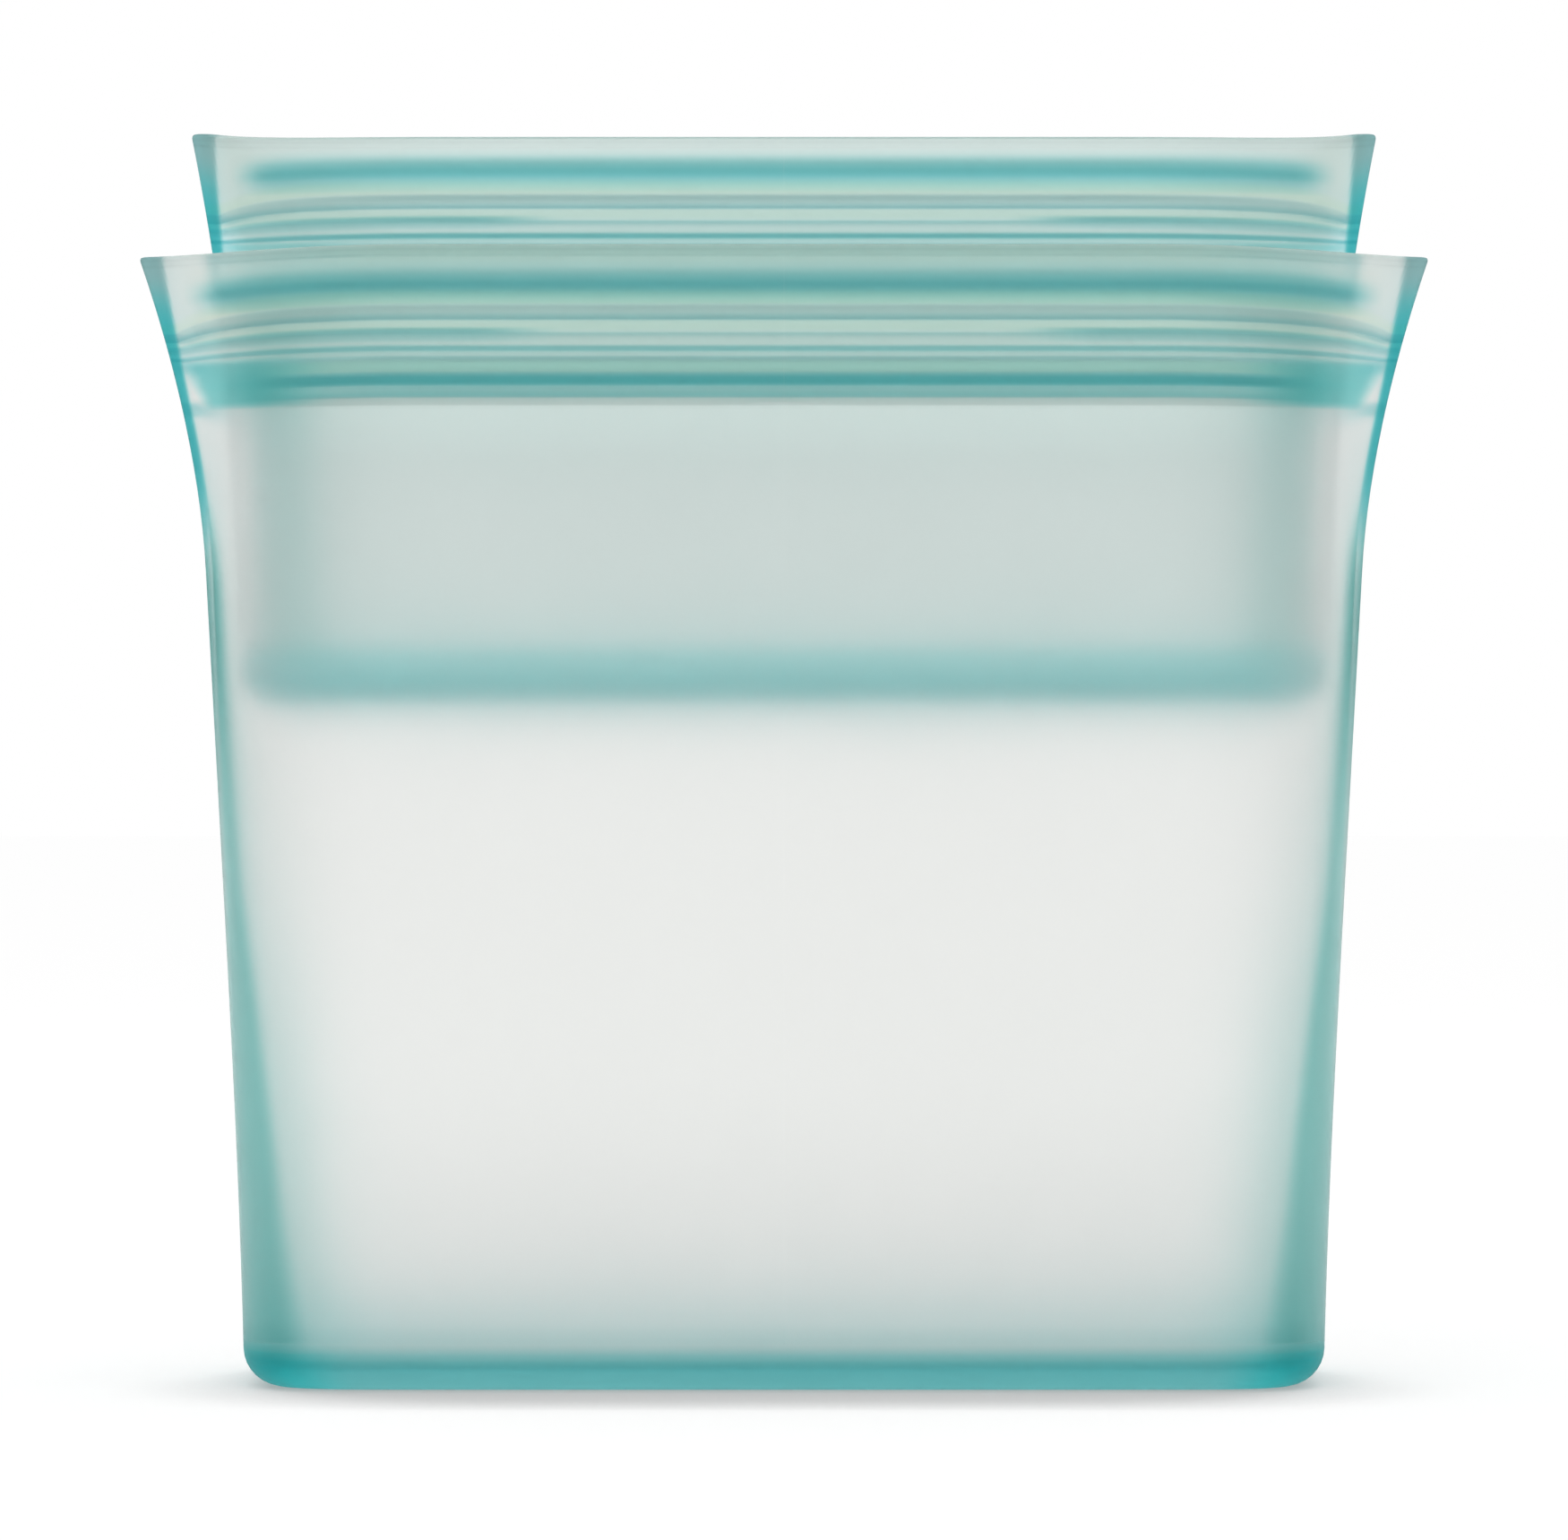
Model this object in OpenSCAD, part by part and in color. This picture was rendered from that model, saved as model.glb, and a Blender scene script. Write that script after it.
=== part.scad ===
// A pair of nesting silicone food bags, each with a press-to-close zip.
// The large bag stands on the floor with its mouth open, and the small bag
// hangs in that mouth, wedged between the zip strips.
// +X runs along the mouth, -Y is the front, +Z is up.
// The origin is under the middle of the large bag's base.

/* [Large bag] */
// Height from the floor to the top of the lips
large_height = 171; // [160:1:180]
// Width of the base
large_base_width = 163; // [156:1:168]
// Width of the open mouth, tip to tip
large_mouth_width = 197; // [192:1:204]
// Depth of the base, front to back
large_base_depth = 56; // [50:1:62]
// Depth across the walls where the zip starts
large_zip_depth = 46; // [46:0.5:50]
// Depth across the lips of the open mouth
large_mouth_depth = 56; // [56:0.5:60]
// Length of the flat panel in the middle of each wall
large_panel_length = 110; // [100:1:116]

/* [Small bag] */
// Height of the small bag at the middle of its lips
small_height = 85.1; // [82:0.1:86]
// How far the tips of its mouth stand above the middle of its lips
small_tip_rise = 2.6; // [0:0.1:4]
// Width of the base
small_base_width = 163; // [156:1:164]
// Width of the open mouth, tip to tip
small_mouth_width = 181; // [176:1:184]
// Depth of the base, front to back
small_base_depth = 29; // [26:0.5:29]
// Depth across the walls where the zip starts
small_zip_depth = 39; // [36:0.5:39]
// Depth across the lips of the open mouth
small_mouth_depth = 50; // [48:0.5:52]
// Length of the flat panel in the middle of each wall
small_panel_length = 100; // [90:1:104]
// Spacing of its zip, where the large bag's is 1
small_zip_scale = 0.945; // [0.9:0.005:1]
// Height of its base above the floor, as it hangs in the large bag
nest_height = 102.1; // [100:0.1:104]

/* [Moulding] */
// Thickness of the walls and lips
wall = 1.4; // [1:0.1:1.6]
// Thickness of the base
base_thickness = 3.2; // [2:0.1:3.6]
// Height of the base tray, up to the line where the walls flex
tray_height = 7; // [6.5:0.1:9]
// Radius of the rounded edge under the base
base_edge_radius = 5.5; // [4:0.5:6]
// Radius of the fillet round the inside of the base
floor_fillet = 2.5; // [1:0.1:2.6]
// Width of the solid tip at each end of the mouth
tip_width = 3.8; // [2:0.1:5]
// Widening of each side per millimetre of height
side_taper = 0.055; // [0.02:0.005:0.07]
// Gap left along each line where the silicone flexes
flex_gap = 0.3; // [0.1:0.05:0.5]

/* [Hidden] */

silicone = [0.36, 0.69, 0.68];
silicone_thick = [0.20, 0.62, 0.62];

// Each zip feature is its section on the large bag, as points of
// [distance below the top of the lip, height above the wall's inner face].
lip_rim = [[3.5, 0], [4.3, 1.1], [6.1, 1.1], [6.9, 0]];
grip_rib = [[8.9, 0], [9.3, 0.9], [10.4, 0.9], [10.8, 0]];
guide_rib = [[12.4, 0], [12.7, 0.8], [13.8, 0.8], [14.1, 0]];
zip_bead = [[15.0, 0], [15.3, 0.8], [15.7, 0.8], [16.0, 0.2], [16.5, 0.2], [16.9, 1.7],
            [18.4, 1.9], [19.0, 3.2], [20.6, 3.2], [22.4, 0.5], [23.6, 0]];
upper_jaw = [[15.0, 0], [15.4, 1.3], [17.6, 1.3], [18.0, 0]];
lower_jaw = [[22.2, 0], [22.6, 3.0], [24.0, 3.0], [24.4, 0]];
zip_stop = [[16.5, 0], [16.9, 3.0], [22.4, 3.0], [23.6, 0]];
front_features = concat(lip_rim, grip_rib, guide_rib, zip_bead);
back_features = concat(grip_rib, upper_jaw, lower_jaw);
zip_drop = 24.6;      // from the top of the lip down to where the zip starts
thumb_half = 35;      // the guide rib stops this far from the middle, for a thumb
flare_span = 47;      // the sides flare over this much of the height below the lip
flare_power = 1.8;
lip_power = 1.3;      // how the lips curve outward above the zip
tip_end_power = 3;     // the ends of the section come to a point at the lip
fin_half = 1;          // half thickness of the flat fin where two lips run together
rib_fade_power = 0.35; // how the zip runs out towards the tips
rim_ends = [35, 50];   // degrees round an end over which the rim runs out
stop_ends = [55, 65];  // degrees round an end where the zip turns into a solid stop
end_step = 10;         // degrees between the columns of points round an end
gusset_levels = 12;
lip_levels = 7;
edge_levels = 4;

// A bag: [height, half base width, half mouth width, half panel length,
//         half depth at the base, at the zip and at the lip, rise of the tips,
//         powers of the sine and the cosine that round the ends at the base, zip spacing]
large = [large_height, large_base_width / 2, large_mouth_width / 2, large_panel_length / 2,
         large_base_depth / 2, large_zip_depth / 2, large_mouth_depth / 2, 0, 0.35, 0.6, 1];
small = [small_height, small_base_width / 2, small_mouth_width / 2, small_panel_length / 2,
         small_base_depth / 2, small_zip_depth / 2, small_mouth_depth / 2, small_tip_rise,
         0.9, 1, small_zip_scale];

function height(bag) = bag[0];
function panel_half(bag) = bag[3];
function tip_rise(bag) = bag[7];
function zip_scale(bag) = bag[10];
function zip_start(bag) = height(bag) - zip_drop;
function above_zip(bag, z) = max(0, (z - zip_start(bag)) / zip_drop);

// Half width of the bag at a height: a straight taper with a flare near the lip
function half_width(bag, z) =
    let (flare = bag[2] - bag[1] - side_taper * height(bag),
         share = max(0, (z - height(bag) + flare_span) / flare_span))
    bag[1] + side_taper * z + flare * pow(share, flare_power);

// Half depth of the bag at a height: flat walls, then lips that lean outward
function half_depth(bag, z) =
    z < zip_start(bag)
        ? bag[4] + (bag[5] - bag[4]) * z / zip_start(bag)
        : bag[5] + (bag[6] - bag[5]) * pow(above_zip(bag, z), lip_power);

// The powers that round the ends of a section: blunt at the base, pointed at the lip
function end_powers(bag, z) =
    let (share = min(1, z / height(bag)))
    [bag[8] + (tip_end_power - bag[8]) * share, bag[9] + (1 - bag[9]) * share];
function tip_inset(bag, z) = wall + (tip_width - wall) * pow(above_zip(bag, z), 2);

// A point on the rounded end of a section. The angle runs from -90 at the
// front panel, through 0 at the side, to 90 at the back panel.
function end_point(start, half_w, half_d, powers, fin, angle, z) =
    let (sine = abs(sin(angle)))
    [
        start + (half_w - start) * pow(max(0, cos(angle)), powers[1]),
        sign(angle) * (half_d * pow(sine, powers[0]) + fin * min(1, sine / sin(end_step)) * (1 - sine)),
        z
    ];
function fin_at(bag, z) = fin_half * pow(z / height(bag), 2);

// Share of the way through a range of degrees round an end
function turn_share(angle, ends) = min(1, max(0, (abs(angle) - ends[0]) / (ends[1] - ends[0])));

// Height of the zip features inside an end: the rim stops short of the tip, and the
// zip turns into a solid stop that runs out towards the tip
function end_feature(bag, angle, z) =
    let (drop = (height(bag) - z) / zip_scale(bag),
         strips = lookup(drop, angle < 0 ? front_features : back_features),
         stop = lookup(drop, zip_stop) * (1 - turn_share(angle, stop_ends)))
    drop > lip_rim[3][0]
        ? max(strips, stop) * pow(abs(sin(angle)), rib_fade_power)
        : strips * turn_share(angle, rim_ends);

function outer_point(bag, angle, z) =
    end_point(panel_half(bag) + flex_gap, half_width(bag, z), half_depth(bag, z),
              end_powers(bag, z), fin_at(bag, z), angle, z);
function inner_point(bag, angle, z, features) =
    end_point(panel_half(bag) + flex_gap, half_width(bag, z) - tip_inset(bag, z),
              half_depth(bag, z) - wall - (features ? end_feature(bag, angle, z) : 0),
              end_powers(bag, z), 0, angle, z);

end_angles = [-90 : end_step : 90];

// A closed solid between two grids of points with the same rows and columns
module sheet_solid(outer, inner) {
    rows = len(outer);
    cols = len(outer[0]);
    count = rows * cols;
    function at(r, c, sheet) = sheet * count + r * cols + c;
    function quad(a, b, c, d) = [[a, b, c], [a, c, d]];
    faces = concat(
        [for (r = [0 : rows - 2]) for (c = [0 : cols - 2])
            each quad(at(r, c, 0), at(r + 1, c, 0), at(r + 1, c + 1, 0), at(r, c + 1, 0))],
        [for (r = [0 : rows - 2]) for (c = [0 : cols - 2])
            each quad(at(r, c, 1), at(r, c + 1, 1), at(r + 1, c + 1, 1), at(r + 1, c, 1))],
        [for (r = [0 : rows - 2]) each quad(at(r, 0, 0), at(r, 0, 1), at(r + 1, 0, 1), at(r + 1, 0, 0))],
        [for (r = [0 : rows - 2]) let (e = cols - 1)
            each quad(at(r, e, 0), at(r + 1, e, 0), at(r + 1, e, 1), at(r, e, 1))],
        [for (c = [0 : cols - 2]) each quad(at(0, c, 0), at(0, c + 1, 0), at(0, c + 1, 1), at(0, c, 1))],
        [for (c = [0 : cols - 2]) let (e = rows - 1)
            each quad(at(e, c, 0), at(e, c, 1), at(e, c + 1, 1), at(e, c + 1, 0))]
    );
    polyhedron(points = concat([for (row = outer) each row], [for (row = inner) each row]), faces = faces);
}

// The rounded side of a bag, from the tray up to the zip
module right_gusset(bag) {
    low = tray_height + flex_gap;
    levels = [for (i = [0 : gusset_levels]) low + (zip_start(bag) - low) * i / gusset_levels];
    color(silicone) sheet_solid(
        [for (z = levels) [for (a = end_angles) outer_point(bag, a, z)]],
        [for (z = levels) [for (a = end_angles) inner_point(bag, a, z, false)]]
    );
}

// The end of the mouth: two lips that run together into a solid tip
module right_mouth_corner(bag) {
    marks = len(front_features) - 1;
    drops = concat([zip_drop], [for (i = [marks : -1 : 0]) front_features[i][0] * zip_scale(bag)], [0]);
    function level(drop, angle) =
        height(bag) - drop + tip_rise(bag) * pow(cos(angle), 2) * (1 - drop / zip_drop);
    function inner_at(drop, angle) =
        let (flat = inner_point(bag, angle, height(bag) - drop, true))
        [flat[0], flat[1], level(drop, angle)];
    function outer_at(drop, angle) =
        let (flat = outer_point(bag, angle, height(bag) - drop))
        [flat[0], flat[1], level(drop, angle)];
    color(silicone) sheet_solid(
        [for (d = drops) [for (a = end_angles) outer_at(d, a)]],
        [for (d = drops) [for (a = end_angles) inner_at(d, a)]]
    );
}

// Outline of a whole section of the bag, drawn in by an inset
function section(bag, z, inset) = let (
    half_w = half_width(bag, z) - inset,
    half_d = half_depth(bag, z) - inset,
    powers = end_powers(bag, z),
    end = [for (a = end_angles) end_point(panel_half(bag), half_w, half_d, powers, 0, a, z)]
) concat(end, [for (i = [len(end) - 1 : -1 : 0]) [-end[i][0], end[i][1], z]]);

// The shallow tray that the bag stands on
module base_tray(bag) {
    function edge_inset(z, radius) = z < radius ? radius - sqrt(radius * radius - pow(radius - z, 2)) : 0;
    outside = [for (i = [0 : edge_levels])
        let (z = base_edge_radius * (1 - cos(90 * i / edge_levels)))
        section(bag, z, edge_inset(z, base_edge_radius))];
    inside = [for (i = [edge_levels : -1 : 0])
        let (rise = floor_fillet * (1 - cos(90 * i / edge_levels)))
        section(bag, base_thickness + rise, wall + edge_inset(rise, floor_fillet))];
    rings = concat(outside, [section(bag, tray_height, 0), section(bag, tray_height, wall)], inside);
    around = len(rings[0]);
    last = len(rings) - 1;
    function at(r, i) = r * around + i % around;
    faces = concat(
        [for (r = [0 : last - 1]) for (i = [0 : around - 1])
            each [[at(r, i), at(r + 1, i), at(r + 1, i + 1)], [at(r, i), at(r + 1, i + 1), at(r, i + 1)]]],
        [[for (i = [0 : around - 1]) at(0, i)]],
        [[for (i = [around - 1 : -1 : 0]) at(last, i)]]
    );
    color(silicone_thick) polyhedron(points = [for (ring = rings) each ring], faces = faces);
}

// A bar of constant section along the mouth, from a section of [y, z] points
module bar(section_points, from_x, to_x) {
    translate([from_x, 0, 0]) rotate([90, 0, 90])
        linear_extrude(to_x - from_x) polygon(section_points);
}

// The flat middle of a wall, from the tray up to the zip, on the +Y side
module wall_panel(bag) {
    low = tray_height + flex_gap;
    high = zip_start(bag);
    color(silicone) bar([
        [half_depth(bag, low), low], [half_depth(bag, high), high],
        [half_depth(bag, high) - wall, high], [half_depth(bag, low) - wall, low]
    ], -panel_half(bag), panel_half(bag));
}

function inner_wall(bag, drop) = half_depth(bag, height(bag) - drop) - wall;

// The lip that carries the zip, on the +Y side
module lip_panel(bag, features) {
    marks = len(features) - 1;
    inside = concat([zip_drop], [for (i = [marks : -1 : 0]) features[i][0] * zip_scale(bag)], [0]);
    outside = [for (i = [0 : lip_levels]) zip_drop * i / lip_levels];
    color(silicone) bar(concat(
        [for (d = inside) [inner_wall(bag, d), height(bag) - d]],
        [for (d = outside) [inner_wall(bag, d) + wall, height(bag) - d]]
    ), -panel_half(bag), panel_half(bag));
}

// A zip feature on the inner face of a lip, on the +Y side
module zip_strip(bag, feature, from_x, to_x) {
    marks = [for (p = feature) [p[0] * zip_scale(bag), p[1]]];
    color(silicone_thick) bar(concat(
        [for (p = marks) [inner_wall(bag, p[0]), height(bag) - p[0]]],
        [for (i = [len(marks) - 2 : -1 : 1])
            [inner_wall(bag, marks[i][0]) - marks[i][1], height(bag) - marks[i][0]]]
    ), from_x, to_x);
}

module full_strip(bag, feature) zip_strip(bag, feature, -panel_half(bag), panel_half(bag));
module side_strips(bag, feature) {
    zip_strip(bag, feature, thumb_half, panel_half(bag));
    zip_strip(bag, feature, -panel_half(bag), -thumb_half);
}

module front() mirror([0, 1, 0]) children();
module left() mirror([1, 0, 0]) children();
module nested() translate([0, 0, nest_height]) children();

base_tray(large);  // large_base
left() right_gusset(large);  // large_left_gusset
right_gusset(large);  // large_right_gusset
left() right_mouth_corner(large);  // large_left_mouth_corner
right_mouth_corner(large);  // large_right_mouth_corner
front() wall_panel(large);  // large_front_wall
front() lip_panel(large, front_features);  // large_front_lip
front() full_strip(large, zip_bead);  // large_front_zip_bead
front() side_strips(large, guide_rib);  // large_front_guide_ribs
front() full_strip(large, grip_rib);  // large_front_grip_rib
front() full_strip(large, lip_rim);  // large_front_lip_rim
wall_panel(large);  // large_back_wall
lip_panel(large, back_features);  // large_back_lip
full_strip(large, upper_jaw);  // large_back_zip_upper_jaw
full_strip(large, lower_jaw);  // large_back_zip_lower_jaw
full_strip(large, grip_rib);  // large_back_grip_rib
nested() base_tray(small);  // small_base
nested() left() right_gusset(small);  // small_left_gusset
nested() right_gusset(small);  // small_right_gusset
nested() left() right_mouth_corner(small);  // small_left_mouth_corner
nested() right_mouth_corner(small);  // small_right_mouth_corner
nested() front() wall_panel(small);  // small_front_wall
nested() front() lip_panel(small, front_features);  // small_front_lip
nested() front() full_strip(small, zip_bead);  // small_front_zip_bead
nested() front() side_strips(small, guide_rib);  // small_front_guide_ribs
nested() front() full_strip(small, grip_rib);  // small_front_grip_rib
nested() front() full_strip(small, lip_rim);  // small_front_lip_rim
nested() wall_panel(small);  // small_back_wall
nested() lip_panel(small, back_features);  // small_back_lip
nested() full_strip(small, upper_jaw);  // small_back_zip_upper_jaw
nested() full_strip(small, lower_jaw);  // small_back_zip_lower_jaw
nested() full_strip(small, grip_rib);  // small_back_grip_rib
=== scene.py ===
import math

import bpy
import numpy as np
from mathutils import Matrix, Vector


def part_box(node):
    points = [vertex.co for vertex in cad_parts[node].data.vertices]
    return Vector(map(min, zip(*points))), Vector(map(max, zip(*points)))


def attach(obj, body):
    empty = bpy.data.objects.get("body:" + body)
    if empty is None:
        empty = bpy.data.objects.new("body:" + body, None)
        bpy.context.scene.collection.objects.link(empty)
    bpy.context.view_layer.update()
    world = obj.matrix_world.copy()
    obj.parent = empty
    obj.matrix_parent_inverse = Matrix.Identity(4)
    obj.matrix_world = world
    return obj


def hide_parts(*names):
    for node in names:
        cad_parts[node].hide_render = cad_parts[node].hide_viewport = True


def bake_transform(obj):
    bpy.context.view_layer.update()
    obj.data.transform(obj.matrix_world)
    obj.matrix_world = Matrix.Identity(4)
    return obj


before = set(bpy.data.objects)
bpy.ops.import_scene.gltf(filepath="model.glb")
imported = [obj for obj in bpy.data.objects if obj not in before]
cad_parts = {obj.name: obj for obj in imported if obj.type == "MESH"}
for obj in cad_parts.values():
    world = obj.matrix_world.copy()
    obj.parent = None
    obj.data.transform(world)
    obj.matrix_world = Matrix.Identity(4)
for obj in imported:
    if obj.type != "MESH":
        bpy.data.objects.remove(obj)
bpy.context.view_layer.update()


# One silicone moulding: how its wall is shaped, in metres and plain powers
moulding = dict(
    wall=0.0014,          # wall thickness
    tipWidth=0.0038,      # solid silicone at each end of the mouth
    edgeRadius=0.0055,    # rounded edge under the base
    baseThickness=0.0032,
    floorFillet=0.0025,   # fillet round the inside of the base
    flatRing=0.0025,      # the flats are marked this far inside their edges
    sideTaper=0.055,      # widening of each side per metre of height
    flareSpan=0.047,      # the sides flare over this much below the lip
    flarePower=1.8,
    lipPower=1.3,         # outward curve of the lips above the zip
    lipRound=0.00035,     # rounded edges along the top of a lip
    lipTopPower=4,        # how flat that top is
    hemHeight=0.0015,     # a hem along the outside of a lip
    hemStep=0.00025,      # height over which the hem runs out
    hemDepth=0.0003,
    notchHalf=0.0067,     # half length of the thumb notch under the middle of the zip
    notchDrops=(0.0224, 0.0237),  # the notch deepens from the first drop to the second
    notchRise=0.0002,     # its lower edge rises this much in the middle
    notchDepth=0.0003,
    tipEndPower=3.0,      # pointed ends at the lip
    finHalf=0.001,        # half thickness of the flat fin where two lips run together
    finStep=0.1736,       # sine of the turn over which the edge of the fin rounds off
    tipRound=0.0008,      # rounded top corner of each fin
    seamGap=0.000004,     # hairline left between two pieces of one moulding
)

# The zip, as [distance below the lip, height above the inner face] in millimetres
zipStrips = dict(
    front=[[8.9, 0], [9.3, 0.9], [10.4, 0.9], [10.8, 0],
           [15.0, 0], [15.3, 0.8], [15.7, 0.8], [16.0, 0.2], [16.5, 0.2], [16.9, 1.7],
           [18.4, 1.9], [19.0, 3.2], [20.6, 3.2], [22.4, 0.5], [23.6, 0]],
    back=[[8.9, 0], [9.3, 0.9], [10.4, 0.9], [10.8, 0],
          [15.0, 0], [15.4, 1.3], [17.6, 1.3], [18.0, 0],
          [22.2, 0], [22.6, 3.0], [24.0, 3.0], [24.4, 0]],
    guide=[[12.4, 0], [12.7, 0.8], [13.8, 0.8], [14.1, 0]],  # front only, and not in the middle
    rim=[[3.5, 0], [4.3, 1.1], [6.1, 1.1], [6.9, 0]],        # front only, and not at the tips
    stop=[[16.5, 0], [16.9, 3.0], [22.4, 3.0], [23.6, 0]],   # a solid end to the zip
    guideStarts=(0.032, 0.048),   # distances from the middle over which the guide rib grows
    rimTurn=(35, 50),             # degrees round an end over which the rim grows
    stopTurn=(55, 65),            # degrees round an end where the zip turns into its stop
    fadePower=0.35,               # how the zip runs out towards the tips
    gatherDrop=16.7,              # the strips gather towards this drop near a fin
    gatherShare=0.37,
    gatherReach=0.0065,
    rimGathers=0.3,               # the rim follows only this much of the gathering
    softening=dict(front=0.00035, back=0.0006, guide=0.0003, stop=0.0005, rim=0.0006),  # rounded edges
)

# How deep the colour goes along the zip, as [distance below the lip in millimetres, soak]
zipSoaks = dict(
    rim=[[2.2, 0], [3.2, 0.09], [3.8, 0.26], [4.4, 0.48], [5.0, 0.65], [5.5, 0.84], [5.9, 0.86], [6.4, 0.74],
         [7.0, 0.47], [8.0, 0.25], [8.7, 0.12], [9.1, 0]],
    rimTurn=(28, 44),             # degrees round an end over which its colour grows
    grip=[[8.8, 0], [9.1, 0.11], [10.0, 0.11], [10.5, 0.29], [10.95, 0.37], [11.1, 0.22], [11.2, 0]],
    crease=[[12.88, 0], [13.0, 0.22], [13.25, 0.17], [13.6, 0.04], [13.9, 0]],  # between the guide ribs
    guide=[[12.1, 0], [12.4, 0.3], [12.7, 0.44], [13.0, 0.4], [13.4, 0.24], [14.1, 0.12], [14.4, 0]],
    bead=[[14.7, 0.05], [15.1, 0.5], [15.5, 0.5], [15.8, 0.12], [16.3, 0.08], [16.6, 0.32], [17.0, 0.28],
          [18.7, 0.32], [19.1, 0.8], [19.5, 1.18], [20.3, 1.18], [20.6, 0.85], [20.9, 0.32],
          [21.5, 0.36], [22.2, 0.58], [22.5, 0.42], [22.7, 0.08], [23.6, 0.03], [24.0, 0]],
    jaws=[[8.8, 0], [9.1, 0.22], [10.6, 0.26], [10.9, 0], [14.8, 0], [15.1, 0.38], [15.5, 0.22], [17.5, 0.3],
          [18.1, 0], [22.0, 0], [22.4, 0.5], [24.0, 0.42], [24.6, 0]],  # the back's strips
    hem=[[0, 0.02], [0.5, 0.06], [0.65, 0.14], [0.85, 0.14], [1.0, 0.06], [1.4, 0.06], [1.5, 0.12],
         [1.65, 0.12], [1.8, 0]],  # painted shade lines along the lip's top and its hem
    paintedShadeAndLight=[[8.8, 0], [9.2, 0.15], [10.4, 0.16], [10.95, 0.18], [11.15, 0], [12.9, 0], [13.02, 0.1],
          [13.6, 0.07], [14.2, 0], [22.2, 0], [22.5, 0.14], [23.6, 0.15], [23.9, -0.07], [27.0, -0.07],
          [32.0, 0]],  # more painted shade along the zip's grip, crease and tail, and painted light in a strip below it
    leaf=[[6.2, 0], [7.2, 0.08], [8.6, 0.08], [8.9, 0], [11.1, 0], [11.3, 0.05], [12.3, 0.05], [12.7, 0],
          [16.9, 0], [17.2, 0.07], [18.6, 0.07], [19.0, 0]],  # a turn from blue to green
    lip=[[0, 0.025], [8.0, 0.04], [12.0, 0.075], [16.0, 0.08], [22.0, -0.02], [27.0, 0]],
    backLip=0.3,                  # the back lip's share of that
    stop=[[15.8, 0], [17.0, 0.6], [20.0, 0.84], [22.4, 0.76], [23.1, 0.4], [23.7, 0]],
    stopTurn=(46, 74),            # degrees round an end over which the strips turn into the stop
    stopLeans=0.36,               # the stop ends this much further from the fin per drop
    stopEnds=(-0.0010, 0.0010),   # distances from that line over which it runs out
    stopDeepens=(0.002, 0.011),   # distances from the fin over which it reaches its full depth
    stopLeast=0.75,               # its share of the depth before that
    beadDrops=(0.0160, 0.0175),   # drops over which the bead's ridge turns into the bead
    linesEnd=0.015,               # drop from which the painted shade lines run out in the stops
    fadePower=0.12,
)

# Depths front to back and the powers that round the ends at the base, which no single
# solid shows; the rest is read off the frame. The lip has a tint of its own, which runs
# out between two drops and between two turns in degrees round an end. The rim's colour sits
# rimRise higher, the lines of the zip have lineShare of their soak and its bead beadShare. The
# foot's soak runs out between two heights, deepShare weakens the deep edges and most of the
# painted shade, and sideLight lightens the upright edges.
bagShapes = dict(
    large=dict(
        base=0.056, zip=0.046, mouth=0.056, sinePower=0.35, cosinePower=0.6, zipScale=1.0,
        paleTint=(0.918, 0.924, 0.914), lipTint=(1.06, 1.01, 0.98),
        lipEnds=(0.0215, 0.0245), lipTurn=(14, 52), rimRise=0.0, lineShare=1.0, beadShare=1.0,
        footSoak=1.47, footHeights=(0.0030, 0.0076), deepShare=1.0, sideLight=0.0,
    ),
    small=dict(
        base=0.029, zip=0.039, mouth=0.050, sinePower=0.9, cosinePower=1.0, zipScale=0.945,
        paleTint=(0.900, 0.947, 0.943), lipTint=(0.955, 0.925, 0.90),
        lipEnds=(0.014, 0.018), lipTurn=(4, 26), rimRise=0.0005, lineShare=1.4, beadShare=0.1,
        footSoak=0.58, footHeights=(0.0030, 0.0110), deepShare=0.0, sideLight=1.0,
    ),
)

# Rows and columns of the meshes; the close rows of the zip start zipMargin above the rest
meshDetail = dict(
    panelColumns=30, endColumns=64, wallRows=44, zipRows=140, lipRows=20, edgeRows=9, zipMargin=0.001,
)


def measureBag(name):
    # Heights and widths come from the solids' boxes, depths from the values above
    shape = bagShapes[name]
    trayLow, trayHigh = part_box(name + "_base")
    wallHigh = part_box(name + "_front_wall")[1]
    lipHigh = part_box(name + "_front_lip")[1]
    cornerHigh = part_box(name + "_right_mouth_corner")[1]
    trayHeight = trayHigh[2] - trayLow[2]
    return dict(
        shape,
        name=name,
        floor=trayLow[2],
        height=lipHigh[2] - trayLow[2],
        trayHeight=trayHeight,
        zipDrop=lipHigh[2] - wallHigh[2],
        tipRise=cornerHigh[2] - lipHigh[2],
        baseHalf=trayHigh[0] - moulding["sideTaper"] * trayHeight,
        mouthHalf=cornerHigh[0],
        panelHalf=wallHigh[0],
        baseDeep=shape["base"] / 2,
        zipDeep=shape["zip"] / 2,
        mouthDeep=shape["mouth"] / 2,
    )


def aboveZip(bag, z):
    # Share of the way from the start of the zip up to the lip
    return np.maximum(0, (z - bag["height"] + bag["zipDrop"]) / bag["zipDrop"])


def halfWidth(bag, z):
    # A straight taper, and a power curve that flares the sides near the lip
    taper = moulding["sideTaper"]
    flare = bag["mouthHalf"] - bag["baseHalf"] - taper * bag["height"]
    share = np.maximum(0, (z - bag["height"]) / moulding["flareSpan"] + 1)
    return bag["baseHalf"] + taper * z + flare * share ** moulding["flarePower"]


def halfDepth(bag, z):
    # Flat walls from the base to the zip, then lips that curve outward
    zipStart = bag["height"] - bag["zipDrop"]
    flat = bag["baseDeep"] + (bag["zipDeep"] - bag["baseDeep"]) * np.minimum(z / zipStart, 1)
    return flat + (bag["mouthDeep"] - bag["zipDeep"]) * aboveZip(bag, z) ** moulding["lipPower"]


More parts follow.
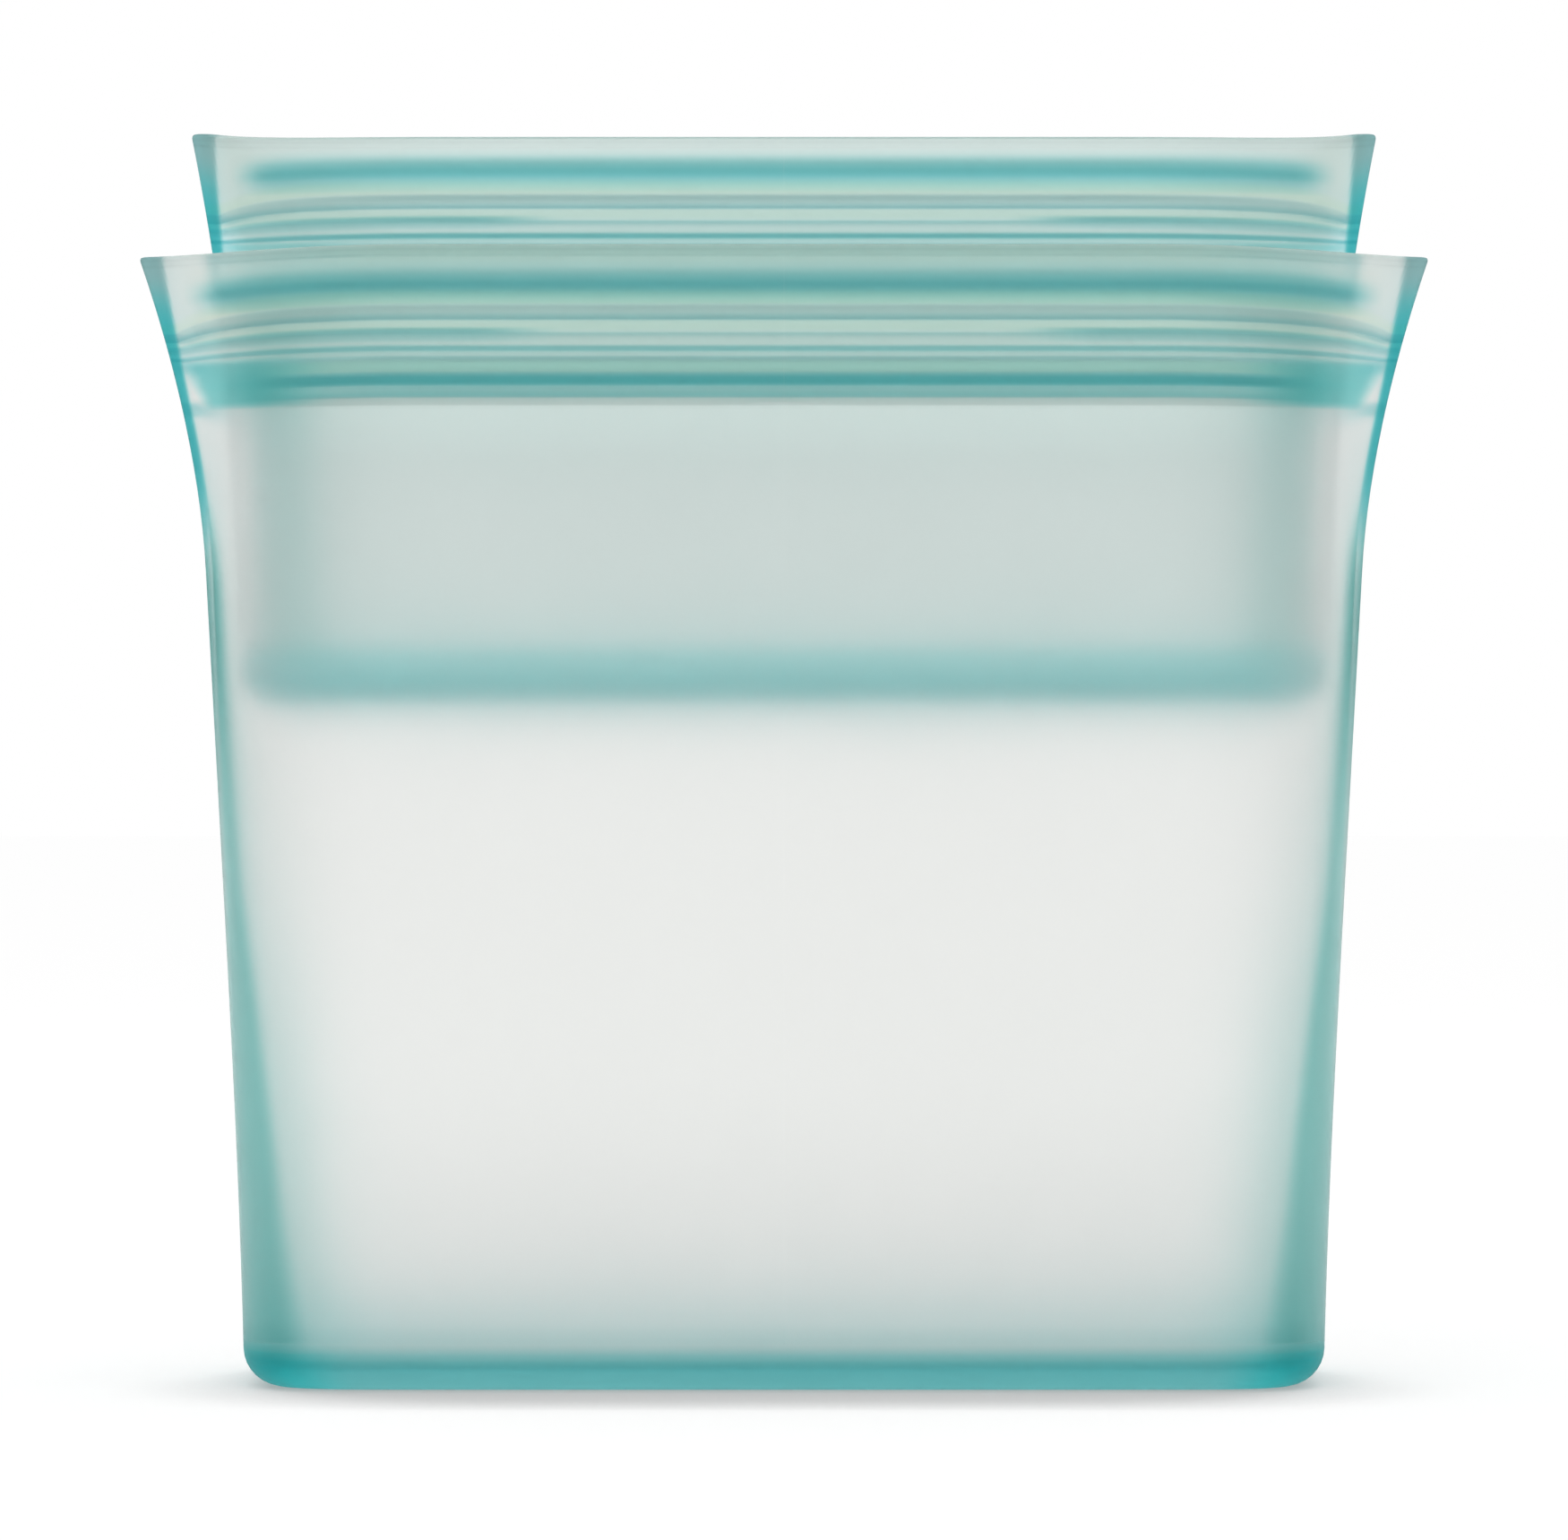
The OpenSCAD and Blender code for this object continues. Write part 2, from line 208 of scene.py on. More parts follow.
def sectionPoint(bag, z, inset, tipInset, finHalf, straight, angle):
    # A straight run to the panel's edge, then an end where x goes with a power of the
    # cosine of the angle and y with a power of its sine. Both powers change with the
    # height, from a blunt end at the base to a point at the lip, where the outside has
    # a flat fin added to y.
    share = np.clip(z / bag["height"], 0, 1)
    sine = np.sin(angle)
    sinePower = bag["sinePower"] + (moulding["tipEndPower"] - bag["sinePower"]) * share
    cosinePower = bag["cosinePower"] + (1 - bag["cosinePower"]) * share
    reach = halfWidth(bag, z) - tipInset - bag["panelHalf"]
    x = bag["panelHalf"] * straight + reach * np.maximum(np.cos(angle), 0) ** cosinePower
    blunt = np.sqrt(np.minimum(1, sine / moulding["finStep"]))
    y = (halfDepth(bag, z) - inset) * sine ** sinePower + finHalf * share ** 2 * blunt * (1 - sine)
    return x, y


def smoothStep(low, high, value):
    # 0 up to low, 1 from high on, and a cubic between them
    t = np.clip((value - low) / (high - low), 0, 1)
    return t * t * (3 - 2 * t)


def gatheredDrop(bag, drop, fromFin):
    # Where each row lies on the zip: the strips keep their spacing along the panel and draw
    # together near a fin, by an exponential of the distance from it
    drop = drop / bag["zipScale"]
    spacing = 1 - zipStrips["gatherShare"] * np.exp(-np.maximum(fromFin, 0) / zipStrips["gatherReach"])
    middle = zipStrips["gatherDrop"] / 1000
    return np.where(drop < middle, middle - (middle - drop) / spacing, drop)


def stripHeight(name, drop):
    # Section of a strip read along the drop, averaged over a few shifts to round its edges
    marks = np.array(zipStrips[name]) / 1000
    steps = np.linspace(-2, 2, 9)  # in softenings, under a bell curve
    weights = np.exp(-steps ** 2 / 2)
    shifted = drop[..., None] + steps * zipStrips["softening"][name]
    return np.interp(shifted, marks[:, 0], marks[:, 1]) @ (weights / weights.sum())


def rimDrop(bag, drop, along):
    # Part of the way from the plain drop to the gathered one
    plain = drop / bag["zipScale"]
    return plain + (along - plain) * zipStrips["rimGathers"]


def zipHeight(bag, side, drop, along, x, angle):
    # Height of the zip above the inner face: its strips on the panel, a solid stop in
    # the ends that runs out towards the tip, and the rim of the front lip
    strips = stripHeight(side, along)
    if side == "front":
        strips = strips + stripHeight("guide", along) * smoothStep(*zipStrips["guideStarts"], np.abs(x))
    stop = stripHeight("stop", along) * (1 - smoothStep(*np.radians(zipStrips["stopTurn"]), angle))
    height = np.maximum(strips, stop) * np.sin(angle) ** zipStrips["fadePower"]
    if side == "front":
        rim = stripHeight("rim", rimDrop(bag, drop, along))
        height = height + rim * smoothStep(*np.radians(zipStrips["rimTurn"]), angle)
    return height


# Frosted silicone: rough clear faces, tinted by how much silicone the light crosses there,
# which soaks up red most, and darkened in places by painted shade.
siliconeLook = dict(
    deepens=(1.75, 0.55, 0.48),   # optical depth in red, green and blue for one unit of soak
    thickDeepens=(1.9, 0.42, 0.38),  # the same in the base and the fins
    edgeDeepens=(1.75, 0.55, 0.60),  # and down the upright edges
    cornerDeepens=(1.9, 0.12, 0.12),  # in the corners of the base
    leafDeepens=(0.3, 0, 1),      # and where the zip turns green
    edgeSoak=0.48,                # down the four upright edges
    rimSoak=0.5,                  # added at the very edge, above the pale strip
    rimReach=0.0006,
    nestSoak=0.125,               # a faint band down the sides of the small bag
    nestBand=(0.001, 0.004, 0.006, 0.016),  # where it starts and ends, in from the side
    # painted shade in that band
    nestShade=0.02,
    nestStops=(0.5, 0.8),         # shares of the height over which it stops
    skinShares=(0.4, 0.6),        # shares of the wall where its outside turns into its inside
    edgeStops=(0.7, 0.8),         # shares of the height over which the edge bands stop
    sideSoak=0.12,                # inside the sides, where the bag is deepest
    sideTurn=(0.25, 0.85),        # radians round an end over which that runs out
    sideStops=(0.1, 0.75),        # and shares of the height
    lightEnds=(0.001, 0.006),     # distances from the side over which the light strip ends
    lightDrops=(0.010, 0.016),    # and drops over which it starts
    finSoak=(0.36, 1.4),          # in the fins, at the lip and further down
    # painted shade on the fins, most of it at the lip
    finShade=(0.42, 0.10),        # and how much darker they are there
    finStarts=(0.72, 0.82),       # shares of the height over which the fins deepen
    finEdge=0.0003,               # softness of their inner edge
    finDrops=(0.002, 0.012),      # drops between the two values of the fins
    cornerSoak=1.28,              # added at the ends of the base
    cornerTurn=(0.85, 1.4),       # radians round an end over which that runs out
    flatShare=0.12,               # how much of the base's soak its level faces have
    # painted shade, darker towards the base
    lowShade=0.06,                # the walls darken this much towards the base
    lowShadeHeights=(0.008, 0.048),
    # painted shade round the foot
    footShade=0.125,              # more of it round the foot, but not in its corners
    footShadeHeights=(0.0045, 0.0105),
    roughness=(0.54, 0.62),
    roughnessScale=55.0,
    cloudDetail=3.0,
    cloudRange=(0.3, 0.7),
    grainScale=1400.0,
    grainDepth=0.000012,
    ior=1.30,
)


# Width of the deep band down an upright edge, by height, in metres
edgeBand = dict(
    heights=(0.004, 0.012, 0.027, 0.038, 0.060, 0.075, 0.101, 0.128, 0.142),
    widths=(0.0088, 0.0082, 0.0070, 0.0064, 0.0045, 0.0030, 0.0020, 0.0012, 0.0010),
    softness=(0.0034, 0.0028, 0.0018, 0.0014, 0.0011, 0.0011, 0.0010, 0.0010, 0.0010),
    outside=(0.0002, 0.0013),     # the outermost strip stays paler
    paleShare=0.4,                # its share of the band's depth
    paleUpTo=(0.072, 0.118),      # heights over which that strip runs out
    # painted shade in the band's upper part, a darker line along the outline
    highShade=0.12,               # and above it the band is this much darker
)


def tintLost(soak, deepens):
    # Share of each colour left by a soak: an exponential, which falls fastest in red
    return np.exp(-np.multiply.outer(soak, np.array(deepens)))


def meshFromGrid(name, points, tint, isRing, cutRows):
    # points[column, row] as a grid of quads. The columns of a ring close, and its first and
    # last rows are filled straight across. Otherwise the rows close and the two ends are
    # filled. Those ends and the cut rows take the second material.
    columns, rows = points.shape[:2]
    index = np.arange(columns * rows).reshape(columns, rows)
    ahead = np.roll(index, -1, axis=0) if isRing else index[1:]
    here = index if isRing else index[:-1]
    quads = np.stack([here, ahead, np.roll(ahead, -1, axis=1), np.roll(here, -1, axis=1)], axis=-1)
    quads = quads[:, :-1] if isRing else quads
    cut = np.broadcast_to(np.isin(np.arange(quads.shape[1]), cutRows), quads.shape[:2]).reshape(-1)
    faces = quads.reshape(-1, 4)
    if isRing:
        near = np.arange(-columns // 4, columns // 4)  # columns of the front half
        far = columns // 2 - near                      # and those straight behind them
        across = np.stack([near, near + 1, far - 1, far], axis=-1) % columns
        lids = np.concatenate([index[:, 0][across[:, ::-1]], index[:, -1][across]])
        faces = faces.tolist() + [list(dict.fromkeys(lid)) for lid in lids.tolist()]
        cut = np.concatenate([cut, np.zeros(len(lids), dtype=bool)])
    else:
        up = np.arange(rows // 2 - 1)  # each row outside faces one inside
        around = np.stack([up, up + 1, rows - 2 - up, rows - 1 - up], axis=-1)
        faces = np.concatenate([faces, index[0][around], index[-1][around[:, ::-1]]]).tolist()
        cut = np.concatenate([cut, np.ones(2 * len(up), dtype=bool)])
    mesh = bpy.data.meshes.new(name)
    mesh.from_pydata(points.reshape(-1, 3).tolist(), [], faces)
    mesh.polygons.foreach_set("material_index", cut.astype(np.int32))
    mesh.polygons.foreach_set("use_smooth", np.ones(len(faces), dtype=bool))
    layer = mesh.color_attributes.new("siliconeTint", "FLOAT_COLOR", "POINT")
    colors = np.ones((columns * rows, 4), dtype=np.float32)
    colors[:, :3] = np.broadcast_to(tint, (columns, rows, 3)).reshape(-1, 3)
    layer.data.foreach_set("color", colors.reshape(-1))
    mesh.update()
    markCutEdges(mesh, cut)
    piece = bpy.data.objects.new(name, mesh)
    bpy.context.scene.collection.objects.link(piece)
    return piece


def markCutEdges(mesh, cut):
    # An edge between a moulded face and a cut face is sharp
    loopEdges = np.zeros(len(mesh.loops), dtype=np.int32)
    mesh.loops.foreach_get("edge_index", loopEdges)
    sizes = np.zeros(len(mesh.polygons), dtype=np.int32)
    mesh.polygons.foreach_get("loop_total", sizes)
    touched = np.bincount(loopEdges, weights=np.repeat(cut, sizes), minlength=len(mesh.edges))
    attribute = mesh.attributes.new("sharp_edge", "BOOLEAN", "EDGE")
    attribute.data.foreach_set("value", touched == 1)


def wallProfile(bag):
    # The closed outline of a wall: up the outside, over the lip, down the inside. Each row
    # has a drop below the lip and a share of the way through the wall. The top is a
    # superellipse, flat with rounded edges.
    span = bag["height"] - bag["trayHeight"] - moulding["seamGap"]
    edge = moulding["lipRound"]
    low = np.linspace(span, bag["zipDrop"] + meshDetail["zipMargin"], meshDetail["wallRows"])
    high = np.linspace(bag["zipDrop"], edge, meshDetail["zipRows"])
    climb = np.concatenate([low, high])
    overShare = (1 - np.cos(math.pi * np.linspace(0, 1, meshDetail["lipRows"] + 2)[1:-1])) / 2
    power = moulding["lipTopPower"]
    overDrop = edge * (1 - (1 - np.abs(2 * overShare - 1) ** power) ** (1 / power))
    drop = np.concatenate([climb, overDrop, climb[::-1]])
    share = np.concatenate([np.zeros(len(climb)), overShare, np.ones(len(climb))])
    return drop, share


def outsideRelief(side, drop, x, angle):
    # The hem along the lip stands out, and the thumb notch in the front goes in
    hem = moulding["hemDepth"] * (1 - smoothStep(0, moulding["hemStep"], drop - moulding["hemHeight"]))
    relief = hem * np.sin(angle)
    if side == "front":
        across = np.clip(1 - (x / moulding["notchHalf"]) ** 2, 0, 1)
        start, end = moulding["notchDrops"]
        way = (drop - start) / (end - moulding["notchRise"] * across - start)
        depth = moulding["notchDepth"] * np.sqrt(across)
        relief = relief - depth * np.where(way > 1, 0, np.clip(way, 0, 1))
    return relief


def marksAt(marks, drop):
    # Straight lines between the marks, which are in millimetres
    table = np.array(marks)
    return np.interp(drop * 1000, table[:, 0], table[:, 1])


def bandShare(z, fromSide):
    # The deep band down an upright edge: a strip of a width that changes with the height, soft
    # on its inner side, with a pale strip outside it low down
    past = fromSide - np.interp(z, edgeBand["heights"], edgeBand["widths"])
    inner = 1 - smoothStep(-1, 1, past / np.interp(z, edgeBand["heights"], edgeBand["softness"]))
    outer = smoothStep(*edgeBand["outside"], fromSide)
    least = edgeBand["paleShare"] + (1 - edgeBand["paleShare"]) * smoothStep(*edgeBand["paleUpTo"], z)
    return inner * (outer + (1 - outer) * least)


def zipSoak(bag, side, drop, x, angle, fromFin):
    # The soak of each strip of the zip, run out as the strip is, and that of the solid stops
    fade = np.sin(angle) ** zipSoaks["fadePower"]
    along = gatheredDrop(bag, drop, fromFin)
    lip = marksAt(zipSoaks["lip"], along)
    if side == "back":
        strips = marksAt(zipSoaks["jaws"], along) * fade
        return lip * zipSoaks["backLip"] + strips, np.zeros_like(lip)
    atGuides = smoothStep(*zipStrips["guideStarts"], np.abs(x))
    crease = marksAt(zipSoaks["crease"], along) * (1 - atGuides) * bag["lineShare"]
    lines = marksAt(zipSoaks["grip"], along) + marksAt(zipSoaks["guide"], along) * atGuides + crease
    inStop = 1 - smoothStep(*np.radians(zipSoaks["stopTurn"]), angle)
    stopStart = zipSoaks["stop"][0][0] / 1000
    stopSpace = fromFin - zipSoaks["stopLeans"] * np.maximum(0, along - stopStart)
    stop = marksAt(zipSoaks["stop"], along) * smoothStep(*zipSoaks["stopEnds"], stopSpace)
    least = zipSoaks["stopLeast"]
    stop = stop * (least + (1 - least) * smoothStep(*zipSoaks["stopDeepens"], fromFin))
    inStop = np.where(along > stopStart, inStop, 0)
    rim = marksAt(zipSoaks["rim"], rimDrop(bag, drop, along) + bag["rimRise"])
    rim = rim * smoothStep(*np.radians(zipSoaks["rimTurn"]), angle)
    lower = smoothStep(*zipSoaks["beadDrops"], along)
    shown = bag["lineShare"] - (bag["lineShare"] - bag["beadShare"]) * lower
    bead = marksAt(zipSoaks["bead"], along) * fade * (1 - inStop) * shown
    return lip + rim + lines * fade + bead, stop * inStop * shown


def between(pair, share):
    return pair[0] + (pair[1] - pair[0]) * share


def wallSoaks(bag, side, z, share, x, angle, tip):
    # How deep the colour is at each point, in four lots: thin silicone, which is the zip's
    # strips and the insides of the sides; thick silicone, which is the fins, the foot and the
    # zip's stops; the bands down the upright edges; and the painted shade that darkens all colours
    look, deep = siliconeLook, bag["deepShare"]
    drop = bag["height"] - z
    up = np.clip(z / bag["height"], 0, 1)
    outside = 1 - smoothStep(*look["skinShares"], share)
    fromSide = halfWidth(bag, z) - x
    below = 1 - smoothStep(*look["edgeStops"], up)
    edge = bandShare(z, fromSide) * below
    high = smoothStep(*edgeBand["paleUpTo"], z) * below * deep
    start, full, thins, end = look["nestBand"]
    nest = smoothStep(start, full, fromSide) * (1 - smoothStep(thins, end, fromSide))
    nest = nest * bag["sideLight"] * (1 - smoothStep(*look["nestStops"], up))
    rim = look["rimSoak"] * high * np.exp(-fromSide / look["rimReach"])
    band = look["edgeSoak"] * deep * edge + rim + look["nestSoak"] * nest
    inSide = (1 - smoothStep(*look["sideTurn"], angle)) * (1 - smoothStep(*look["sideStops"], up))
    strips, stops = zipSoak(bag, side, drop, x, angle, fromSide - tip)
    thin = strips + look["sideSoak"] * deep * inSide * (1 - outside)
    inFin = smoothStep(-look["finEdge"], look["finEdge"], tip - fromSide)
    inFin = inFin * outside * smoothStep(*look["finStarts"], up)
    lower = smoothStep(*look["finDrops"], drop)
    foot = bag["footSoak"] * (1 - smoothStep(*bag["footHeights"], z))
    thick = between(look["finSoak"], lower) * inFin + foot + stops
    shade = 1 - look["lowShade"] * deep * (1 - smoothStep(*look["lowShadeHeights"], z))
    shade = shade * (1 - look["footShade"] * deep * (1 - smoothStep(*look["footShadeHeights"], z)))
    shade = shade * (1 - between(look["finShade"], lower) * inFin) * (1 - look["nestShade"] * nest)
    shade = shade * (1 - edgeBand["highShade"] * edge * high)
    return np.broadcast_arrays(thin, thick, band, shade)


def wallTint(bag, side, z, share, x, angle, tip):
    # The pale silicone, with the lip's own tint and a light strip down the sides, times what
    # the soaks leave of each colour and the painted shade; the front zip also has lines of painted shade and
    # light, and green lines
    look = siliconeLook
    drop = bag["height"] - z
    fromSide = halfWidth(bag, z) - x
    thin, thick, band, shade = wallSoaks(bag, side, z, share, x, angle, tip)
    left = tintLost(thin, look["deepens"]) * tintLost(thick, look["thickDeepens"])
    left = left * tintLost(band, look["edgeDeepens"])
    inLip = (1 - smoothStep(*bag["lipEnds"], drop)) * smoothStep(*np.radians(bag["lipTurn"]), angle)
    light = bag["sideLight"] * (1 - smoothStep(*look["lightEnds"], fromSide))
    light = light * smoothStep(*look["lightDrops"], drop)
    inLip, light = (np.broadcast_to(part, thin.shape)[..., None] for part in (inLip, light))
    pale = np.array(bag["paleTint"]) * (1 + (np.array(bag["lipTint"]) - 1) * inLip)
    pale = pale + (1 - pale) * light
    if side == "front":
        along = gatheredDrop(bag, drop, fromSide - tip)
        runsOut = np.where(along < zipSoaks["linesEnd"], np.sin(angle) ** zipSoaks["fadePower"],
                           smoothStep(*np.radians(zipSoaks["stopTurn"]), angle))
        paintedShadeAndLight = marksAt(zipSoaks["paintedShadeAndLight"], along) * runsOut + marksAt(zipSoaks["hem"], drop)
        shade = shade * np.exp(-paintedShadeAndLight)
        left = left * tintLost(marksAt(zipSoaks["leaf"], along) * runsOut, look["leafDeepens"])
    return pale * left * shade[..., None]


def quarterColumns():
    # Columns from the middle of a panel to the middle of a side: the share of the straight
    # run that each has covered, and its angle round the end
    panel, end = meshDetail["panelColumns"], meshDetail["endColumns"]
    straight = np.concatenate([np.linspace(0, 1, panel), np.ones(end)])
    angle = np.concatenate([np.full(panel, math.pi / 2), np.linspace(math.pi / 2, 0, end + 1)[1:]])
    return straight, angle


def wallQuarter(bag, side, hand):
    # A quarter of the bag above its tray: the wall's outline carried from the middle of
    # the panel to the middle of the side
    drop, share = wallProfile(bag)
    straight, angle = (part[:, None] for part in quarterColumns())
    z = (bag["height"] - drop)[None, :]
    tip = moulding["wall"] + (moulding["tipWidth"] - moulding["wall"]) * aboveZip(bag, z) ** 2
    radius = moulding["tipRound"]  # the top corner of the fin is an arc
    corner = radius - np.sqrt(radius ** 2 - np.clip(radius - drop, 0, radius) ** 2)[None, :]
    outX, outY = sectionPoint(bag, z, 0, corner, moulding["finHalf"], straight, angle)
    along = gatheredDrop(bag, drop[None, :], halfWidth(bag, z) - tip - outX)
    features = zipHeight(bag, side, drop[None, :], along, outX, angle)
    outY = outY + outsideRelief(side, drop[None, :], outX, angle)
    inX, inY = sectionPoint(bag, z, moulding["wall"] + features, tip, 0, straight, angle)
    x = outX + share * (inX - outX)
    y = outY + share * (inY - outY)
    rise = bag["tipRise"] * np.cos(angle) ** 2 * np.clip(1 - drop / bag["zipDrop"], 0, 1)
    gap = moulding["seamGap"]
    acrossX = np.maximum(x, gap) * (1 if hand == "right" else -1)
    acrossY = np.maximum(y, gap) * (-1 if side == "front" else 1)
    points = np.stack(np.broadcast_arrays(acrossX, acrossY, bag["floor"] + z + rise), axis=-1)
    tint = wallTint(bag, side, z, share, outX, angle, tip)
    if (side == "front") != (hand == "right"):
        points, tint = points[:, ::-1], tint[:, ::-1]  # turned round, so that faces point out
    name = "_".join([bag["name"], side, hand, "wall"])
    return meshFromGrid(name, points, tint, False, [len(drop) - 1])


def baseTray(bag):
    # The tray: flat underside, rounded outside edge, a level rim, rounded inside edge and
    # flat floor, carried right round the section
    radius, fillet, floor = moulding["edgeRadius"], moulding["floorFillet"], moulding["baseThickness"]
    wall, ring, top = moulding["wall"], moulding["flatRing"], bag["trayHeight"]
    turn = np.linspace(0, math.pi / 2, meshDetail["edgeRows"])
    back = turn[::-1]
    z = np.concatenate([[0], radius * (1 - np.cos(turn)), [top, top],
                        floor + fillet * (1 - np.cos(back)), [floor]])
    inset = np.concatenate([[radius + ring], radius * (1 - np.sin(turn)), [0, wall],
                            wall + fillet * (1 - np.sin(back)), [wall + fillet + ring]])
    z, inset = z[None, :], inset[None, :]
    straight, angle = quarterColumns()
    count = len(angle)  # a quarter's columns, there and back twice, go once round
    order = np.concatenate([np.arange(count), np.arange(count - 2, -1, -1),
                            np.arange(1, count), np.arange(count - 2, 0, -1)])
    signX = np.repeat([1, -1], [2 * count - 1, 2 * count - 3])[:, None]
    signY = np.repeat([-1, 1, -1], [count, 2 * count - 2, count - 2])[:, None]
    straight, angle = straight[order][:, None], angle[order][:, None]
    x, y = sectionPoint(bag, z, inset, inset, 0, straight, angle)
    points = np.stack(np.broadcast_arrays(x * signX, y * signY, bag["floor"] + z), axis=-1)
    rimRow = meshDetail["edgeRows"] + 1
    row = np.arange(z.size)[None, :]
    outer = (row > 0) & (row <= rimRow)
    return meshFromGrid(bag["name"] + "_tray", points, trayTint(bag, z, x, angle, outer), True, [rimRow])


def trayTint(bag, z, x, angle, outer):
    # The foot's soak, less of it on the level faces; more in the corners, where red goes
    # first; the upright edges' bands above it; and the same painted shade as low on the walls
    look, deep = siliconeLook, bag["deepShare"]
    low = (1 - smoothStep(*bag["footHeights"], z)) * np.where(outer, 1, look["flatShare"])
    atEnds = (1 - smoothStep(*look["cornerTurn"], angle)) * low
    edge = bandShare(z, halfWidth(bag, z) - x) * (1 - low) * deep
    foot = np.broadcast_to(bag["footSoak"] * low, x.shape)
    tint = np.array(bag["paleTint"]) * tintLost(foot, look["thickDeepens"])
    tint = tint * tintLost(look["cornerSoak"] * deep * atEnds, look["cornerDeepens"])
    tint = tint * tintLost(look["edgeSoak"] * edge * outer, look["edgeDeepens"])
    darker = look["footShade"] * (1 - atEnds) * (1 - smoothStep(*look["footShadeHeights"], z))
    return tint * (1 - deep * (look["lowShade"] + darker))[..., None]


def startMaterial(name):
    material = bpy.data.materials.new(name)
    material.use_nodes = True
    nodes = material.node_tree.nodes
    nodes.clear()
    output = nodes.new("ShaderNodeOutputMaterial")
    return material, nodes, material.node_tree.links, output


def siliconeMaterial(name):
    look = siliconeLook
    material, nodes, links, output = startMaterial(name)
    skin = nodes.new("ShaderNodeBsdfPrincipled")
    skin.inputs["IOR"].default_value = look["ior"]
    skin.inputs["Transmission Weight"].default_value = 1.0
    tint = nodes.new("ShaderNodeAttribute")
    tint.attribute_name = "siliconeTint"
    links.new(tint.outputs["Color"], skin.inputs["Base Color"])
    place = nodes.new("ShaderNodeTexCoord")
    cloud = nodes.new("ShaderNodeTexNoise")  # slow changes in how frosted the face is
    cloud.inputs["Scale"].default_value = look["roughnessScale"]
    cloud.inputs["Detail"].default_value = look["cloudDetail"]
    links.new(place.outputs["Object"], cloud.inputs["Vector"])
    frost = nodes.new("ShaderNodeMapRange")
    frost.inputs["From Min"].default_value, frost.inputs["From Max"].default_value = look["cloudRange"]
    frost.inputs["To Min"].default_value, frost.inputs["To Max"].default_value = look["roughness"]
    links.new(cloud.outputs["Fac"], frost.inputs["Value"])
    links.new(frost.outputs["Result"], skin.inputs["Roughness"])
    grain = nodes.new("ShaderNodeTexNoise")  # the fine grain of the mould
    grain.inputs["Scale"].default_value = look["grainScale"]
    links.new(place.outputs["Object"], grain.inputs["Vector"])
    bump = nodes.new("ShaderNodeBump")
    bump.inputs["Distance"].default_value = look["grainDepth"]
    links.new(grain.outputs["Fac"], bump.inputs["Height"])
    links.new(bump.outputs["Normal"], skin.inputs["Normal"])
    links.new(skin.outputs["BSDF"], output.inputs["Surface"])
    return material


def cutMaterial(name):
    # The hidden face where two pieces of one moulding meet: light goes straight through
    material, nodes, links, output = startMaterial(name)
    through = nodes.new("ShaderNodeBsdfTransparent")
    links.new(through.outputs["BSDF"], output.inputs["Surface"])
    return material


silicone = siliconeMaterial("frostedSilicone")
siliconeCut = cutMaterial("frostedSiliconeCut")


def dress(piece):
    piece.data.materials.append(silicone)
    piece.data.materials.append(siliconeCut)


def closeWith(piece):
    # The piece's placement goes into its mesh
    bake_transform(piece)


# The solids that each wall quarter stands for
quarterParts = dict(
    front_left=["front_wall", "front_lip", "left_gusset"],
    front_right=["front_zip_bead", "front_guide_ribs", "front_grip_rib", "front_lip_rim", "right_gusset"],
    back_left=["back_wall", "back_lip", "left_mouth_corner"],
    back_right=["back_zip_upper_jaw", "back_zip_lower_jaw", "back_grip_rib", "right_mouth_corner"],
)

for bagName in ("large", "small"):
    bag = measureBag(bagName)
    for quarterName, parts in quarterParts.items():
        side, hand = quarterName.split("_")
        quarter = wallQuarter(bag, side, hand)
        dress(quarter)
        closeWith(quarter)
        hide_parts(*[bagName + "_" + part for part in parts])
    tray = baseTray(bag)
    dress(tray)
    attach(tray, bagName + "_base")
    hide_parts(bagName + "_base")
    print(bagName, "bag moulded")


# White floor and surroundings, darker overhead, with soft light from above and the front
studio = dict(
    floorHalf=9.0,
    floorColor=(0.5, 0.5, 0.5),
    floorGlow=0.56,
    nearReach=0.038,       # the floor darkens this close to the object
    nearOpen=(0.5, 0.86),  # how open the floor is where the shadow is darkest, and where it ends
    nearLeast=0.6,         # brightness left in the darkest part
    nearLeans=(0, 0.98, 0.2),     # towards the light, behind and above, so the shadow falls in front
    skyLight=0.86,
    overhead=0.85,         # brightness straight up, where the horizon is 1
    darkensFrom=0.25,      # sine of the elevation from which the sky darkens
    lamps=[("overheadLamp", (0.0, -0.1, 1.5), 1.6), ("frontLamp", (-0.9, -1.3, 1.0), 1.0)],  # and their sizes
    lampTarget=(0, 0, 0.1),
    lampPower=2,
)


def seenDirectly(nodes, links, seen, lit):
    # One strength for rays that show the background, another for rays that light the object
    path = nodes.new("ShaderNodeLightPath")
    first = nodes.new("ShaderNodeMath")
    first.operation = "MAXIMUM"
    links.new(path.outputs["Is Camera Ray"], first.inputs[0])
    links.new(path.outputs["Is Transmission Ray"], first.inputs[1])
    either = nodes.new("ShaderNodeMath")
    either.operation = "MAXIMUM"
    links.new(first.outputs["Value"], either.inputs[0])
    links.new(path.outputs["Is Glossy Ray"], either.inputs[1])
    strength = nodes.new("ShaderNodeMapRange")
    strength.inputs["To Min"].default_value = lit
    if isinstance(seen, float):
        strength.inputs["To Max"].default_value = seen
    else:
        links.new(seen, strength.inputs["To Max"])
    links.new(either.outputs["Value"], strength.inputs["Value"])
    return strength.outputs["Result"]


